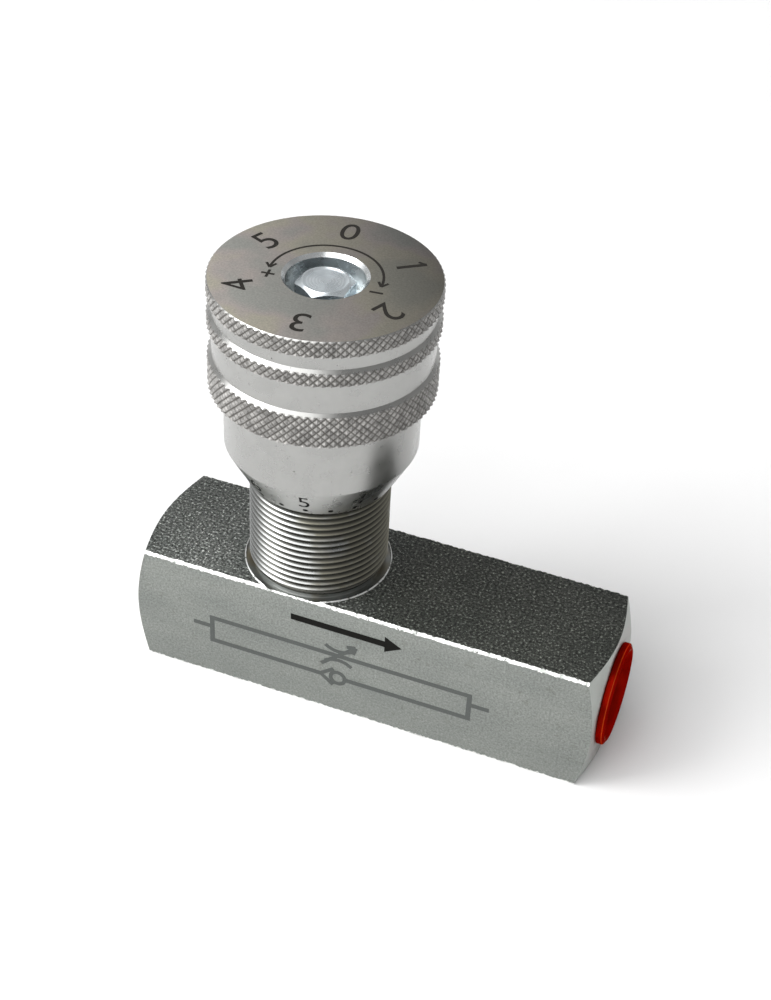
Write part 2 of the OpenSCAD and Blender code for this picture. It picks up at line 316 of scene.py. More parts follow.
class Nodes:
    """Short calls for building the nodes of a new material, in object space, or of a new world."""

    def __init__(self, name, kind="materials", shader="Principled BSDF", space="Object"):
        self.owner = getattr(bpy.data, kind).new(name)
        self.owner.use_nodes = True
        self.tree = self.owner.node_tree
        self.shader = self.tree.nodes[shader]
        self.place = self.node("TexCoord").outputs[space]

    def feed(self, made, inputs):
        """Links each input to a socket or gives it a value, where a colour has three numbers."""
        for key, value in inputs.items():
            socket = made.inputs[key]
            if isinstance(value, bpy.types.NodeSocket):
                self.tree.links.new(value, socket)
            else:
                is_colour = socket.type == "RGBA" and len(value) == 3
                socket.default_value = (*value, 1) if is_colour else value

    def node(self, kind, inputs=None, **settings):
        made = self.tree.nodes.new("ShaderNode" + kind)
        for key, value in settings.items():
            setattr(made, key, value)
        self.feed(made, inputs or {})
        return made

    def finish(self, colour, metallic, roughness, normal, **more):
        """The finished material."""
        self.feed(self.shader, {"Base Color": colour, "Metallic": metallic, "Roughness": roughness})
        self.feed(self.shader, {"Normal": normal, **more})
        return self.owner

    def noise(self, per_mm, detail=3.0, roughness=0.55, stretch=(1, 1, 1)):
        """Noise whose cells are 1/per_mm millimetres across, squeezed along the axes by stretch."""
        place = self.place
        if stretch != (1, 1, 1):
            place = self.node("Mapping", {"Vector": place, "Scale": stretch}).outputs["Vector"]
        inputs = {"Vector": place, "Scale": per_mm / MM, "Detail": detail, "Roughness": roughness}
        return self.node("TexNoise", inputs).outputs["Fac"]

    def ramp(self, value, *stops):
        """Colour ramp with stops of (position, colour or grey)."""
        made = self.node("ValToRGB", {"Fac": value})
        ramp = made.color_ramp
        while len(ramp.elements) < len(stops):
            ramp.elements.new(0.5)
        for element, (position, colour) in zip(ramp.elements, stops):
            element.position = position
            is_grey = isinstance(colour, (int, float))
            element.color = (colour, colour, colour, 1) if is_grey else (*colour, 1)
        return made.outputs["Color"]

    def along(self, direction):
        """How far the point lies along a direction."""
        inputs = {0: self.place, 1: direction}
        return self.node("VectorMath", inputs, operation="DOT_PRODUCT").outputs["Value"]

    def range(self, value, low, high, from_low=0.3, from_high=0.7, curve="LINEAR"):
        """Goes from low to high as the value goes from from_low to from_high, and no further."""
        inputs = {"Value": value, "From Min": from_low, "From Max": from_high,
                  "To Min": low, "To Max": high}
        return self.node("MapRange", inputs, interpolation_type=curve).outputs["Result"]

    def mix(self, factor, a, b, blend="MIX"):
        inputs = {0: factor, 6: a, 7: b}
        return self.node("Mix", inputs, data_type="RGBA", blend_type=blend).outputs[2]

    def times(self, colour, *shades):
        for shade_by in shades:
            colour = self.mix(1.0, colour, shade_by, "MULTIPLY")
        return colour

    def math(self, operation, a, b=0.0):
        return self.node("Math", {0: a, 1: b}, operation=operation).outputs[0]

    def bump(self, height, strength, depth_mm, normal=None):
        inputs = {"Height": height, "Strength": strength, "Distance": depth_mm * MM}
        if normal is not None:
            inputs["Normal"] = normal
        return self.node("Bump", inputs).outputs["Normal"]


def from_axis(n, axis):
    """Distance from the port axis (X) or the spindle axis (Z), and the place along it."""
    x, y, z = n.node("SeparateXYZ", {"Vector": n.place}).outputs
    if axis == "X":
        x, z = n.math("SUBTRACT", z, PORT_Z * MM), x
    return n.math("SQRT", n.math("ADD", n.math("MULTIPLY", x, x), n.math("MULTIPLY", y, y))), z


def turning_rings(n, axis):
    """Fine tool marks: rings on flat faces and on walls."""
    radius, height = from_axis(n, axis)
    lean = 0.73
    ring = n.node("CombineXYZ", {"X": n.math("ADD", radius, n.math("MULTIPLY", height, lean))})
    inputs = {"Vector": ring.outputs["Vector"], "Scale": 9 / MM, "Detail": 2.0}
    return n.node("TexNoise", inputs).outputs["Fac"]


def shaded(colour, factor):
    """A colour made darker or lighter by a factor."""
    return tuple(min(1, c * factor) for c in colour)


def zinc(name, colour, roughness, mottle=0.1, grain=0.2, rings="Z", tint=None, specks=1.0):
    """Zinc-plated steel: clouds in colour and gloss, fine grain, turning rings about an axis, specks."""
    n = Nodes(name)
    clouds = n.noise(0.35, detail=5)
    base = n.ramp(clouds, (0.3, shaded(colour, 1 - mottle)), (0.7, shaded(colour, 1 + mottle)))
    if tint:
        base = n.mix(n.range(n.noise(0.14, detail=2), 0, 1, 0.5, 0.68), base, tint)
    if specks < 1:
        base = n.times(base, n.ramp(n.noise(1.3, roughness=0.6), (0.27, specks), (0.30, 1.0)))
    grain_mm = 0.12
    normal = n.bump(n.noise(1 / grain_mm, detail=2), grain, 0.02)
    normal = n.bump(turning_rings(n, rings), 0.35, 0.01, normal)
    return n.finish(base, 1.0, n.range(clouds, roughness * 0.85, roughness * 1.2), normal)


def knurl_zinc():
    """Knurled bands: satin diamonds over grooves painted dark, partly as dirt in them and partly as
    painted shade.
    """
    n = Nodes("knurl_zinc")
    radius, _ = from_axis(n, "Z")
    root, crest = (KNOB_R - KNURL_DEPTH) * MM, (KNOB_R - 0.5 * KNURL_DEPTH) * MM
    depth = n.range(radius, 0, 1, root, crest)
    grain = n.noise(3, detail=4, roughness=0.7)
    face = n.times(
        n.ramp(n.noise(0.4, detail=4), (0.3, (0.31, 0.303, 0.293)), (0.7, (0.39, 0.381, 0.368))),
        n.ramp(grain, (0.36, 0.75), (0.62, 1.2)),
        n.ramp(n.noise(1.1), (0.38, 0.62), (0.58, 1.12)))
    # The grooves' dark colour is partly dirt and partly painted shade, darker the deeper they go.
    colour = n.mix(depth, (0.10, 0.095, 0.085), face)
    return n.finish(colour, 0.6, n.range(depth, 0.7, 0.42, 0, 1), n.bump(grain, 0.35, 0.04))


def worn_edge():
    """Long edges, rubbed bright in places."""
    n = Nodes("worn_edge_zinc")
    patches = n.noise(0.9, detail=4, roughness=0.7)
    colour = n.ramp(patches, (0.37, (0.15, 0.155, 0.145)), (0.48, (0.84, 0.85, 0.83)))
    return n.finish(colour, 1.0, n.range(patches, 0.5, 0.32), n.bump(n.noise(4), 0.6, 0.06))


def thread_zinc():
    """Turret thread: bright crests over roots painted dark as shade, with painted shade darkening the
    crests towards the right.
    """
    n = Nodes("thread_zinc")
    radius, _ = from_axis(n, "Z")
    # Painted shade: the thread's roots are painted near black.
    depth = n.range(radius, 0, 1, (TURRET_R - 0.7 * TURRET_THREAD_DEPTH) * MM, (TURRET_R - 0.03) * MM)
    one_side = n.range(n.along((1, 0, 0)), -0.45, 0.2, -TURRET_R * MM, TURRET_R * MM)
    # Painted shade: the crests turn darker and olive towards +X, with a ragged edge from the noise.
    right_side_shade = n.range(n.math("ADD", n.noise(0.2), one_side), 0, 1, 0.44, 0.62)
    crest = n.mix(right_side_shade, (0.41, 0.42, 0.415), (0.25, 0.242, 0.195))
    colour = n.mix(depth, (0.085, 0.085, 0.075), crest)
    return n.finish(colour, 1.0, n.range(right_side_shade, 0.27, 0.5, 0, 1), n.bump(n.noise(7, detail=2), 0.15, 0.02))


def satin_zinc():
    """The bar's drawn sides: grey with a fine grain, faint streaks and a few stains."""
    n = Nodes("satin_zinc")
    clouds = n.noise(0.22, detail=5, stretch=(0.35, 1, 1))
    grain = n.noise(3.2, detail=5, roughness=0.75)
    base = n.times(
        n.ramp(clouds, (0.3, (0.205, 0.218, 0.205)), (0.7, (0.25, 0.263, 0.245))),
        n.ramp(grain, (0.36, 0.72), (0.5, 1.0), (0.64, 1.3)))
    stains = n.ramp(n.noise(0.5, detail=6, roughness=0.7), (0.32, (0.60, 0.58, 0.54)), (0.42, 1))
    colour = n.mix(0.5, base, n.times(base, stains))
    return n.finish(colour, 0.75, n.range(grain, 0.6, 0.45), n.bump(grain, 0.4, 0.05))


def rough_zinc():
    """The bar's as-rolled top: dark and coarse, with painted shadow that darkens it to the right and small
    painted glints.
    """
    n = Nodes("rough_zinc")
    grain = n.noise(2.6, detail=5, roughness=0.72)
    clouds = n.range(n.noise(0.12), 0, 1, 0.35, 0.65)
    tone = n.mix(clouds, (0.125, 0.135, 0.126), (0.18, 0.19, 0.178))
    # Painted shadow: the top darkens towards +X, where the knob's shadow falls.
    rightward = n.range(n.along((1, 0, 0)), 0, 1, 0, 14 * MM)
    tone = n.mix(rightward, tone, n.times(tone, (0.45, 0.45, 0.42)))
    # Painted glints: the grain's brightest spots multiply the colour up to 6.5 times, as small painted
    # highlights.
    colour = n.times(tone, n.ramp(grain, (0.38, 0.12), (0.49, 0.7), (0.58, 1.3), (0.65, 6.5)))
    fine = n.bump(n.noise(8, detail=2), 0.5, 0.04)
    return n.finish(colour, 0.7, n.range(grain, 0.62, 0.3), n.bump(grain, 1.0, 0.2, fine))


def dial_zinc():
    """The knob's turned top face, with the faint straw and violet tint of passivated zinc, and painted
    light and shade across it.
    """
    n = Nodes("dial_zinc")
    tint = n.ramp(n.noise(0.07), (0.36, (0.48, 0.472, 0.41)), (0.46, (0.57, 0.535, 0.445)),
                  (0.53, (0.55, 0.50, 0.47)), (0.62, (0.46, 0.462, 0.43)))
    # worn holds painted reflection and shade: the face is lit towards -X -Y and darker towards +X +Y.
    worn = n.range(n.along((0.84, 0.54, 0)), 1.17, 0.27, -KNOB_R * MM, KNOB_R * MM)
    grain = n.ramp(n.noise(4, detail=4, roughness=0.7), (0.35, 0.85), (0.65, 1.12))
    fine = n.bump(n.noise(6, detail=2), 0.25, 0.02)
    normal = n.bump(turning_rings(n, "Z"), 0.4, 0.012, fine)
    return n.finish(n.times(tint, worn, grain), 0.9, n.range(n.noise(0.8), 0.36, 0.46), normal)


def plain_metal(name, colour, roughness):
    """Machined metal with fine scratches."""
    n = Nodes(name)
    marks = n.noise(4, detail=4, stretch=(1, 1, 6))
    base = n.ramp(marks, (0.35, shaded(colour, 0.85)), (0.65, colour))
    gloss = n.range(marks, roughness * 0.8, roughness * 1.3)
    return n.finish(base, 1.0, gloss, n.bump(marks, 0.2, 0.01))


def matt(name, colour, roughness, grain_mm=0.3, shine=0.5):
    """Rubber, plastic or laser mark."""
    n = Nodes(name)
    grain = n.noise(1 / grain_mm)
    base = n.ramp(grain, (0.35, shaded(colour, 0.75)), (0.65, colour))
    gloss = n.range(grain, roughness * 0.9, roughness * 1.1)
    return n.finish(base, 0.0, gloss, n.bump(grain, 0.2, 0.02), **{"Specular IOR Level": shine})


def red_polythene(name, colour):
    """Soft glossy red plastic that lets a little light through."""
    n = Nodes(name)
    base = n.ramp(n.noise(0.25), (0.35, shaded(colour, 0.72)), (0.65, colour))
    depth = {"Specular IOR Level": 0.0, "Specular Tint": (0.95, 0.12, 0.03), "Subsurface Weight": 0.12,
             "Subsurface Radius": (1.2 * MM, 0.2 * MM, 0.1 * MM), "Subsurface Scale": 1.0}
    dents = n.bump(n.noise(1.1, detail=2), 0.12, 0.05)
    return n.finish(base, 0.35, n.range(n.noise(1.5), 0.16, 0.26), dents, **depth)


MATERIALS = {
    "side": satin_zinc(),
    "rough": rough_zinc(),
    "edge": worn_edge(),
    "end": zinc("turned_end_zinc", (0.41, 0.43, 0.405), 0.42, rings="X"),
    "turned": thread_zinc(),
    "recess": zinc("recess_zinc", (0.72, 0.745, 0.75), 0.26, mottle=0.2, grain=0.4),
    "spot": zinc("spot_face_zinc", (0.27, 0.28, 0.27), 0.4, tint=(0.22, 0.19, 0.13)),
    "bore": zinc("bore_zinc", (0.42, 0.42, 0.40), 0.4, rings="X"),
    "knob": zinc("knob_zinc", (0.40, 0.40, 0.389), 0.28, mottle=0.06, grain=0.15, specks=0.45),
    "knurl": knurl_zinc(),
    "dial": dial_zinc(),
    "fastener": zinc("bright_zinc", (0.80, 0.86, 0.90), 0.28, mottle=0.12),
    "hardened": plain_metal("ground_steel", (0.52, 0.53, 0.55), 0.25),
    "spring": plain_metal("spring_wire", (0.48, 0.49, 0.51), 0.3),
    "black": plain_metal("black_oxide", (0.05, 0.05, 0.055), 0.4),
    "brass": plain_metal("turned_brass", (0.72, 0.53, 0.25), 0.3),
    "rubber": matt("nitrile_rubber", (0.03, 0.03, 0.032), 0.55),
    "white": matt("white_ptfe", (0.82, 0.82, 0.78), 0.5),
    "red": red_polythene("red_polythene", (0.25, 0.004, 0.0008)),
    # A lighter copy of the red plastic for the cap's rim chamfer: a painted highlight.
    "red_painted_highlight": red_polythene("red_polythene_painted_highlight", (0.50, 0.055, 0.012)),
    "mark": matt("laser_mark", (0.022, 0.02, 0.017), 0.6, grain_mm=0.15, shine=0.15),
    "black_mark": matt("black_print", (0.008, 0.008, 0.007), 0.6, grain_mm=0.15, shine=0.05),
    "faint": matt("faint_laser_mark", (0.085, 0.092, 0.088), 0.6, grain_mm=0.15, shine=0.2),
}


def finish_piece(obj, finishes, body, slot, *replaced):
    """Paints a piece and tells the frame what it rides on and replaces."""
    for finish in finishes:
        obj.data.materials.append(MATERIALS[finish])
    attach(obj, body)
    if replaced:
        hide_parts(*replaced)
    return obj


# ---- valve body

def bar_outline(rng):
    """Square section whose corners are worn to a rough chamfer, as (y, z) round the port axis."""
    half = BAR_W / 2
    soft = EDGE_R * 0.12
    shoulder = 0.72
    points = []
    for corner in range(4):
        middle = math.radians(45 + 90 * corner)
        sign_y, sign_z = math.copysign(1, math.cos(middle)), math.copysign(1, math.sin(middle))
        first, second = (EDGE_R + rng.uniform(-EDGE_WEAR, EDGE_WEAR) for _ in range(2))
        ends = [(half - first, half), (half - first * shoulder, half - soft),
                (half - soft, half - second * shoulder), (half, half - second)]
        if corner % 2 == 0:
            ends.reverse()
        points += [(sign_y * y, sign_z * z) for y, z in ends]
    return points


def bar_solid():
    """Square bar with worn long edges, coned at both ends."""
    rng = random.Random(7)
    length = RIGHT_X - LEFT_X
    sections = round(length / EDGE_STEP)
    verts = []
    for section in range(sections + 1):
        outline = bar_outline(rng)
        verts += [(LEFT_X + length * section / sections, y, PORT_Z + z) for y, z in outline]
    bar = make_object("bar", *swept(verts, len(outline)))
    slope = BAR_W * math.tan(END_ANGLE)
    near_r, far_r = BAR_W / 2, BAR_W * 1.5
    profile = [(0, LEFT_X), (near_r, LEFT_X), (far_r, LEFT_X + slope),
               (far_r, RIGHT_X - slope), (near_r, RIGHT_X), (0, RIGHT_X)]
    return boolean(bar, turned("cones", profile, 256, to_x), "INTERSECT")


def make_block(name, low, high):
    """Square-cornered block between two corners, to cut with."""
    corners = [(x, y, z) for z in (low[2], high[2]) for x, y in
               ((low[0], low[1]), (high[0], low[1]), (high[0], high[1]), (low[0], high[1]))]
    return make_object(name, *swept(corners, 4))


def spot_lip():
    """Burr round the spot face, only where the bar's top carries it."""
    inner, outer = SPOT_R - 0.02, SPOT_R + LIP_W
    root, crest = SPOT_Z - 0.3, BAR_W + LIP_H
    section = [(inner, root), (inner, crest - 0.01), (SPOT_R + 0.05, crest),
               (outer, BAR_W - 0.01), (outer, root)]
    lip = turned("lip", section, 192, closed=True)
    reach = BAR_W / 2 - EDGE_R
    carried = make_block("carried", (-BAR_W, -reach, PORT_Z), (BAR_W, reach, BAR_W + 1))
    return boolean(lip, carried, "INTERSECT")


def turret_solid():
    """Threaded turret on its relief groove, solid down to the port axis."""
    root_r = TURRET_R - TURRET_THREAD_DEPTH
    relief_r = root_r - 0.03
    start, stop = SPOT_Z + RELIEF_H, TURRET_TOP - TURRET_CHAMFER
    thread = thread_wall(root_r, TURRET_R, TURRET_PITCH, start, stop, TURRET_SEGMENTS, rows=10)
    foot = [(root_r, start), (relief_r, start - 0.1), (relief_r, SPOT_Z + 0.2),
            (root_r + 0.1, SPOT_Z - 0.02), (root_r, SPOT_Z - 1), (root_r, PORT_Z), (0, PORT_Z)]
    top = [(0, TURRET_TOP), (root_r - TURRET_CHAMFER, TURRET_TOP), (root_r, stop)]
    return make_object("turret", *joined(
        thread, revolve(foot, TURRET_SEGMENTS), revolve(top, TURRET_SEGMENTS)))


def spot_cutter():
    """Cutter for the round flat milled at the foot of the turret."""
    above = BAR_W + 1
    return turned("spot", [(0, SPOT_Z), (SPOT_R, SPOT_Z), (SPOT_R, above), (0, above)], 128)


def port_cutter(mouth, depth, inner_steps):
    """Threaded port with its countersink, and the plain bores behind it as (radius, x) steps."""
    inward = 1 if mouth == LEFT_X else -1
    floor = mouth + inward * depth
    runout = floor - inward * PORT_RUNOUT
    start = mouth + inward * COUNTERSINK * 0.9
    mouth_r = PORT_MINOR_R + COUNTERSINK
    thread = thread_wall(PORT_MINOR_R, PORT_MAJOR_R, PORT_PITCH, *sorted((start, runout)), 96, to_x)
    outer = [(0, mouth - inward), (mouth_r + 0.9, mouth - inward), (mouth_r + 0.9, mouth - inward * 0.5),
             (mouth_r, mouth), (PORT_MINOR_R, start)]
    inner = [(PORT_MINOR_R, runout), (PORT_MINOR_R, floor)] + inner_steps
    return make_object("port", *joined(thread, revolve(outer, 96, to_x), revolve(inner, 96, to_x)))


def port_a_cutter():
    floor = LEFT_X + PORT_A_DEPTH
    steps = [(PASSAGE_R, floor + 1.2), (PASSAGE_R, CHECK_SEAT_X + 1), (0, CHECK_SEAT_X + 1)]
    return port_cutter(LEFT_X, PORT_A_DEPTH, steps)


def port_b_cutter():
    """Right port and the check chamber with its retaining ring groove."""
    steps = [(CHAMBER_R, RIGHT_X - PORT_B_DEPTH), (CHAMBER_R, CIRCLIP_X + CIRCLIP_H),
             (CIRCLIP_R, CIRCLIP_X + CIRCLIP_H), (CIRCLIP_R, CIRCLIP_X), (CHAMBER_R, CIRCLIP_X),
             (CHAMBER_R, CHECK_SEAT_X), (0, CHECK_SEAT_X)]
    return port_cutter(RIGHT_X, PORT_B_DEPTH, steps)


def throttle_cutter():
    """Orifice, throttle chamber and gland bore down the turret, widened at its mouth."""
    flare = 0.6
    mouth_r, above = GLAND_R + flare, TURRET_TOP + 1
    return turned("throttle", [
        (0, PORT_Z), (ORIFICE_R, PORT_Z), (ORIFICE_R, THROTTLE_SEAT_Z), (THROTTLE_R, THROTTLE_SEAT_Z),
        (THROTTLE_R, GLAND_Z), (GLAND_R, GLAND_Z), (GLAND_R, TURRET_TOP - flare), (mouth_r, TURRET_TOP),
        (mouth_r, above), (0, above)])


def bypass_cutter():
    """Slanted drilling from the right port to the throttle chamber."""
    far = Vector((BYPASS_X, 0, BYPASS_Z))
    slant = Vector((RIGHT_X + 1, 0, BYPASS_MOUTH_Z)) - far
    profile = [(0, 0), (BYPASS_R, 0), (BYPASS_R, slant.length), (0, slant.length)]
    return turned("bypass", profile, 48, about(far, slant.normalized(), Vector((0, 1, 0))))


def body_surface(centre, normal):
    """Name of the finish on a face of the body, with small margins for flat faces on round walls."""
    from_port_axis = math.hypot(centre.y, centre.z - PORT_Z)
    from_spindle = math.hypot(centre.x, centre.y)
    if from_spindle < SPOT_R + LIP_W + 0.03 and centre.z > SPOT_Z - 0.02:
        if from_spindle > SPOT_R - 0.03:
            return "edge" if abs(normal.z) < 0.95 else "rough"
        return "spot" if centre.z < SPOT_Z + RELIEF_H else "turned"
    if from_spindle < GLAND_R + 0.01 and centre.z > THROTTLE_SEAT_Z:
        return "turned"
    if from_port_axis < PORT_MAJOR_R + 0.05:
        return "bore"
    if abs(normal.x) > 0.2:
        return "end"
    if abs(normal.y) > 0.15 and abs(normal.z) > 0.15:
        return "edge"
    return "rough" if abs(normal.z) > 0.5 else "side"


def make_body():
    """The one-piece body with its turret, ports and passages."""
    body = bar_solid()
    boolean(body, spot_lip(), "UNION")
    boolean(body, spot_cutter(), "DIFFERENCE")
    boolean(body, turret_solid(), "UNION")
    for cutter in (port_a_cutter, port_b_cutter, throttle_cutter, bypass_cutter):
        boolean(body, cutter(), "DIFFERENCE")
    body.name = body.data.name = "zinc_plated_body"
    finishes = ("side", "rough", "end", "turned", "bore", "edge", "spot")
    for face in body.data.polygons:
        face.material_index = finishes.index(body_surface(face.center / MM, face.normal))
    shade(body)
    return finish_piece(body, finishes, "housing", "body_steel", "valve_body")


# ---- knob

def knurl_radius(column, height):
    """Radius of the diamond knurl, where the grooves that climb to the right are the deeper ones."""
    around, up = column / KNURL_STEPS, height / KNURL_AXIAL

    def groove(value):
        ridge = 1 - abs(2 * (value % 1.0) - 1)
        return 1 - min(ridge, KNURL_FLAT) / KNURL_FLAT

    return KNOB_R - KNURL_DEPTH * max(groove(around - up), KNURL_SHALLOW * groove(around + up))


def knurled_band(low, high, chamfer):
    """Wall of a knurled band whose top edge is chamfered, with its first and last ring.

    Each quad is split into four triangles so that every groove stays straight.
    """
    step = KNURL_AXIAL / KNURL_STEPS
    slope_low = high - chamfer
    heights = [low + step * row for row in range(math.ceil((slope_low - low) / step))]
    heights += [slope_low + chamfer * row / CHAMFER_ROWS for row in range(CHAMFER_ROWS + 1)]

    def radius(column, height):
        return min(knurl_radius(column, height - low), KNOB_R - max(0, height - slope_low))

    def point(column, height):
        return to_z(radius(column, height), step_angle(column, KNOB_SEGMENTS), KNOB_Z + height)

    verts = [point(column, height) for height in heights for column in range(KNOB_SEGMENTS)]
    faces = []
    for number, corners in enumerate(ring_faces(len(heights), KNOB_SEGMENTS)):
        row, column = divmod(number, KNOB_SEGMENTS)
        faces += [(corners[side], corners[(side + 1) % 4], len(verts)) for side in range(4)]
        verts.append(point(column + 0.5, (heights[row] + heights[row + 1]) / 2))
    first, last = ((lambda i, height=height: radius(i, height), KNOB_Z + height) for height in (low, high))
    return (verts, faces), first, last


def grub_hole_cutter():
    """Cutter for the hole that holds the grub screw, square to the skirt and countersunk."""
    middle = (grub_low + grub_high) / 2
    outward = Vector((middle.x, middle.y, 0)).normalized()
    sideways = Vector((-outward.y, outward.x, 0))
    sink = 0.25
    inside, outside = KNOB_BORE_R - 1, SKIRT_R + 0.9
    profile = [(0, inside), (GRUB_HOLE_R, inside), (GRUB_HOLE_R, SKIRT_R - sink - 0.1),
               (GRUB_HOLE_R + sink + 1, outside), (0, outside)]
    return turned("grub_hole", profile, 48, about(Vector((0, 0, middle.z)), outward, sideways))


def spigot_cutter():
    """Cutter for the two-sided hole in the knob's ceiling that the spindle's spigot drives."""
    low, high = KNOB_Z + KNOB_CEILING - 0.5, KNOB_Z + KNOB_CEILING + SPIGOT_H
    rod = turned("spigot", [(0, low), (SPIGOT_R, low), (SPIGOT_R, high), (0, high)])
    flats = make_block("flats", (-SPIGOT_HALF_W, -KNOB_R, low - 1), (SPIGOT_HALF_W, KNOB_R, high + 1))
    return boolean(rod, flats, "INTERSECT")


def knob_profile():
    """Shape of the knob, from its lower end over the outside to the bore, and the heights of its bands."""
    edges = [*itertools.accumulate((CONE_H + SKIRT_H, BAND_3_H, GROOVE_2_H, BAND_2_H, GROOVE_1_H)), KNOB_H]
    cone_top, skirt_top, top = KNOB_Z + CONE_H, KNOB_Z + edges[0], KNOB_Z + KNOB_H
    floor, ceiling = top - RECESS_DEPTH, KNOB_Z + KNOB_CEILING
    groove_r, edge, lead_in = KNOB_R - GROOVE_DEPTH, 0.06, 0.25
    before = [
        (KNOB_BORE_R + lead_in, KNOB_Z), (CONE_R - edge, KNOB_Z), (CONE_R + edge * 0.5, KNOB_Z + edge),
        (SKIRT_R - edge, cone_top - edge * 2), (SKIRT_R, cone_top + edge), (SKIRT_R, skirt_top),
        (KNOB_R - KNURL_DEPTH - 0.02, skirt_top)]
    parts = []
    for low, high, next_low in zip(edges[::2], edges[1::2], edges[2::2] + [KNOB_H]):
        chamfer = RIM_CHAMFER if high == KNOB_H else GROOVE_DEPTH
        band, first, last = knurled_band(low, high, chamfer)
        parts += [revolve(before + [first], KNOB_SEGMENTS), band]
        before = [last, (groove_r - 0.01, KNOB_Z + high), (groove_r, KNOB_Z + next_low)]
    inside = [
        last, (RECESS_R + RECESS_CHAMFER, top), (RECESS_R, top - RECESS_CHAMFER), (RECESS_R, floor),
        (BOLT_HOLE_R, floor), (BOLT_HOLE_R, ceiling), (KNOB_BORE_R, ceiling),
        (KNOB_BORE_R, KNOB_Z + lead_in), (KNOB_BORE_R + lead_in, KNOB_Z)]
    return joined(*parts, revolve(inside, KNOB_SEGMENTS)), list(zip(edges[::2], edges[1::2]))


def knob_surface(centre, normal, bands):
    """Name of the finish on a face of the knob."""
    from_spindle = math.hypot(centre.x, centre.y)
    below_top = KNOB_Z + KNOB_H - centre.z
    on_band = any(low < centre.z - KNOB_Z < high for low, high in bands)
    if on_band and from_spindle > KNOB_R - GROOVE_DEPTH and abs(normal.z) < 0.6:
        return "knurl"
    if normal.z > 0.99 and below_top < 0.01:
        return "dial"
    in_recess = from_spindle < RECESS_R + RECESS_CHAMFER + 0.1 and below_top < RECESS_DEPTH + 0.01
    return "recess" if in_recess else "knob"


def make_knob():
    """Knob with three knurled bands, skirt, scale cone and bolt recess."""
    shape, bands = knob_profile()
    knob = make_object("knurled_knob", *shape)
    boolean(knob, grub_hole_cutter(), "DIFFERENCE")
    boolean(knob, spigot_cutter(), "DIFFERENCE")
    finishes = ("knob", "knurl", "dial", "recess")
    for face in knob.data.polygons:
        face.material_index = finishes.index(knob_surface(face.center / MM, face.normal, bands))
    shade(knob, 24)
    return finish_piece(knob, finishes, "adjuster", "knob_steel", "knob")


# ---- marks

def flat_text(text, height, narrow=1.0):
    """Digits as a flat shape, centred, height millimetres tall and narrowed by a factor."""
    curve = bpy.data.curves.new("glyph", "FONT")
    curve.body = text
    curve.align_x = "CENTER"
    curve.resolution_u = 6
    obj = bpy.data.objects.new("glyph", curve)
    bpy.context.scene.collection.objects.link(obj)
    depsgraph = bpy.context.evaluated_depsgraph_get()
    mesh = bpy.data.meshes.new_from_object(obj.evaluated_get(depsgraph))
    bpy.data.objects.remove(obj)
    across, up = ([v.co[axis] for v in mesh.vertices] for axis in (0, 1))
    low, middle = min(up), (min(across) + max(across)) / 2
    scale = height / (max(up) - low)
    verts = [((x - middle) * scale * narrow, (y - low) * scale - height / 2) for x, y in zip(across, up)]
    faces = [tuple(p.vertices) for p in mesh.polygons]
    bpy.data.meshes.remove(mesh)
    return verts, faces


def flat_stroke(points, width):
    """A bent line of even width as flat quads."""
    verts, faces = [], []
    for i, point in enumerate(points):
        before, after = points[max(i - 1, 0)], points[min(i + 1, len(points) - 1)]
        along = Vector((after[0] - before[0], after[1] - before[1])).normalized()
        for side in (-1, 1):
            verts.append((point[0] - along.y * side * width / 2, point[1] + along.x * side * width / 2))
        if i:
            faces.append((2 * i - 2, 2 * i, 2 * i + 1, 2 * i - 1))
    return verts, faces


def arc_line(centre, radius, start, stop, steps):
    """Points along a circle's arc, from start to stop in degrees."""
    angles = [math.radians(start + (stop - start) * i / steps) for i in range(steps + 1)]
    return [(centre[0] + radius * math.cos(a), centre[1] + radius * math.sin(a)) for a in angles]


def flat_digit(digit, height, narrow=1.0):
    """A digit as a list of flat shapes, where the font's plain 1 gets a flag."""
    flats = [flat_text(str(digit), height, narrow)]
    if digit == 1:
        top, reach = height / 2, 0.19 * height
        flats.append(flat_stroke([(-reach, top - 1.15 * reach), (0, top - 0.03 * height)], 0.09 * height))
    return flats


def mark_solid(flats, place):
    """Thin closed solids from flat shapes, where place gives the point and normal for (x, y).

    Each shape stands a hair prouder than the one before, so that crossing strokes don't share a surface.
    """
    parts = []
    for order, (verts, faces) in enumerate(flats):
        lift = MARK_LIFT + MARK_STEP * order
        bm = bmesh.new()
        made = [bm.verts.new((x, y, 0)) for x, y in verts]
        for face in faces:
            bm.faces.new([made[i] for i in face])
        bmesh.ops.recalc_face_normals(bm, faces=bm.faces)
        bmesh.ops.triangulate(bm, faces=bm.faces)
        grown = bmesh.ops.extrude_face_region(bm, geom=bm.faces[:])
        for item in grown["geom"]:
            if isinstance(item, bmesh.types.BMVert):
                item.co.z = 1
        bm.verts.index_update()
        solid = []
        for v in bm.verts:
            point, normal = place(v.co.x, v.co.y)
            solid.append(tuple(point + normal * (lift if v.co.z > 0.5 else -MARK_SINK)))
        parts.append((solid, [tuple(v.index for v in f.verts) for f in bm.faces]))
        bm.free()
    return joined(*parts)


def bearing(degrees):
    """Unit vector at an angle round the spindle, from the front (-Y) towards +X."""
    angle = math.radians(degrees)
    return Vector((math.sin(angle), -math.cos(angle), 0))


def make_marks(name, finish, body, slot, *parts):
    """One piece from several mark solids."""
    return finish_piece(make_object(name, *joined(*parts)), [finish], body, slot)


def on_dial(degrees, radius):
    """Places flat shapes on the top face with their tops outwards."""
    outward = bearing(degrees)
    rightward = bearing(degrees - 90)
    centre = outward * radius + Vector((0, 0, KNOB_Z + KNOB_H))
    return lambda x, y: (centre + rightward * x + outward * y, Vector((0, 0, 1)))


